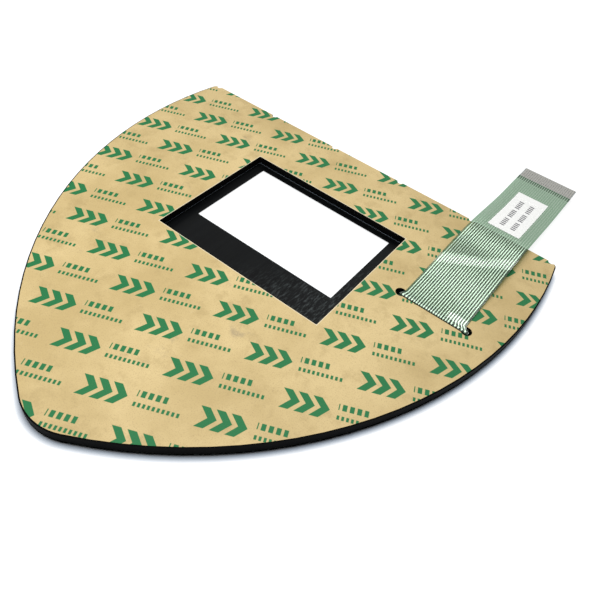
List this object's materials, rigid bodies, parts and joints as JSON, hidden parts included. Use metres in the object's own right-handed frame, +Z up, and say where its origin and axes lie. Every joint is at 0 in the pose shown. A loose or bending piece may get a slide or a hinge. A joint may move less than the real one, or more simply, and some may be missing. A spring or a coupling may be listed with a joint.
{
  "type": "membrane keypad",
  "caption": "Shield-shaped membrane keypad lying face down: kraft release liner up, rectangular display cut-out, and a flat film tail that leaves through a slot in the backing plate",
  "frame": {"origin": "centre of the part's bounding box in plan, at the bottom of the embossed key areas, which is the surface it lies on", "axes": "+X along the straight edge towards the side that carries the tail, +Y from the rounded tip towards the straight edge and the tail's contact end, +Z up, from the front film towards the release liner"},
  "size_m": [0.188, 0.2276, 0.0075],
  "materials": {
    "clear_film": "clear polyester film, embossed",
    "black_ink": "printed black coat, satin",
    "adhesive": "milky transfer adhesive",
    "retainer": "milky polyester film",
    "spacer": "polyester sheet",
    "steel": "rolled stainless strip",
    "circuit": "green tinted polyester film with printed silver traces",
    "plate": "black plastic sheet, cut edge",
    "kraft": "siliconised kraft paper",
    "label": "white paper label"
  },
  "bodies": {
    "root": {"overlay_film": "clear_film", "overlay_print": "black_ink", "overlay_adhesive": "adhesive", "dome_retainer": "retainer", "dome_spacer": "spacer", "snap_dome_01": "steel", "snap_dome_02": "steel", "snap_dome_03": "steel", "snap_dome_04": "steel", "snap_dome_05": "steel", "snap_dome_06": "steel", "snap_dome_07": "steel", "snap_dome_08": "steel", "snap_dome_09": "steel", "snap_dome_10": "steel", "snap_dome_11": "steel", "snap_dome_12": "steel", "snap_dome_13": "steel", "snap_dome_14": "steel", "circuit_film": "circuit", "circuit_adhesive": "adhesive", "backing_plate": "plate", "rear_adhesive": "adhesive", "release_liner": "kraft", "tail_stiffener": "retainer", "tail_label": "label"}
  },
  "joints": []
}
